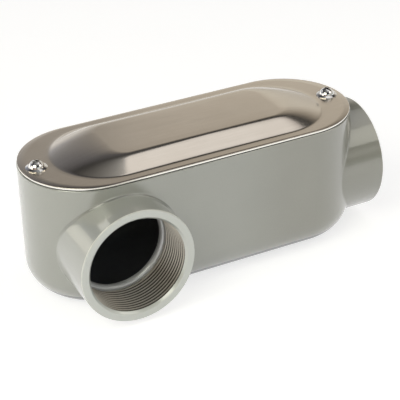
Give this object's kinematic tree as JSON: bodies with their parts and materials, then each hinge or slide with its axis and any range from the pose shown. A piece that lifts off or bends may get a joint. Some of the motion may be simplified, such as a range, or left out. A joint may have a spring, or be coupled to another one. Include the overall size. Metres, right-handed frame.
{
  "type": "conduit body",
  "caption": "L-shaped electrical conduit body: an oblong cast box with a threaded hub on its side and another on its end, closed by a screwed, raised sheet cover.",
  "frame": {"origin": "middle of the flat back, halfway between the centres of the two rounded ends", "axes": "+Z from the flat back towards the cover, +X along the body towards the end hub, -Y the way the side hub points"},
  "size_m": [0.2176, 0.099, 0.0856],
  "materials": {
    "casting": "glossy light grey powder coat on cast aluminium, threads bare",
    "gasket": "matt black sheet",
    "cover_sheet": "warm grey satin, drawn sheet",
    "screw": "bright plated"
  },
  "bodies": {
    "root": {"housing": "casting", "cover_gasket": "gasket", "cover": "cover_sheet", "cover_screw_left": "screw", "cover_screw_right": "screw"}
  },
  "joints": []
}
